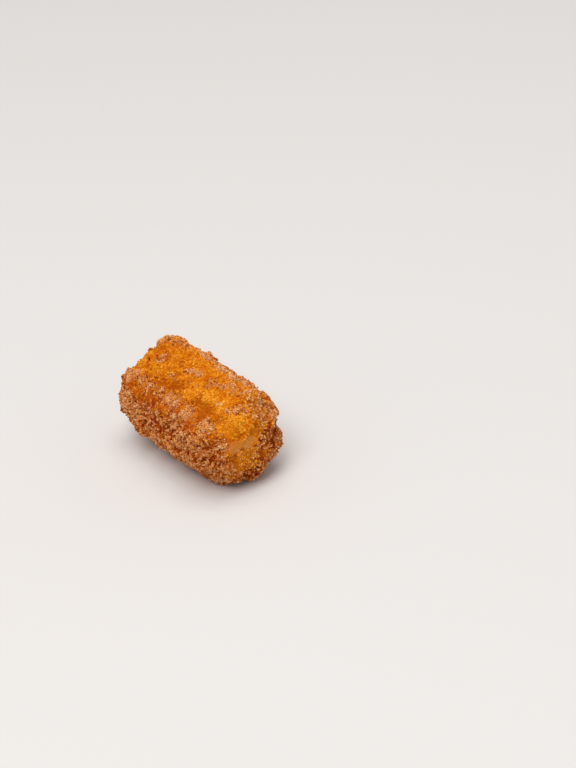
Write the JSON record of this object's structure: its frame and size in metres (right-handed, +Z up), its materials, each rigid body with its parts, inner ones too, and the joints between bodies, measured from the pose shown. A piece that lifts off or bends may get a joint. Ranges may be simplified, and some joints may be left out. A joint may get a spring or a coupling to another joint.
{
  "type": "churro",
  "caption": "Short bite of ridged fried churro dough, one end domed with a small cut face and the other blunt, crusted all over with clumps of cinnamon sugar, lying on its ridges.",
  "frame": {"origin": "on the surface the churro rests on, under the middle of its box", "axes": "+X along the dough towards its domed end with the cut face, +Y across it, +Z up"},
  "size_m": [0.0532, 0.0328, 0.0314],
  "materials": {
    "sugared_dough": "golden brown fried dough under a rough coat of cinnamon sugar"
  },
  "bodies": {
    "root": {"churro": "sugared_dough"}
  },
  "joints": []
}
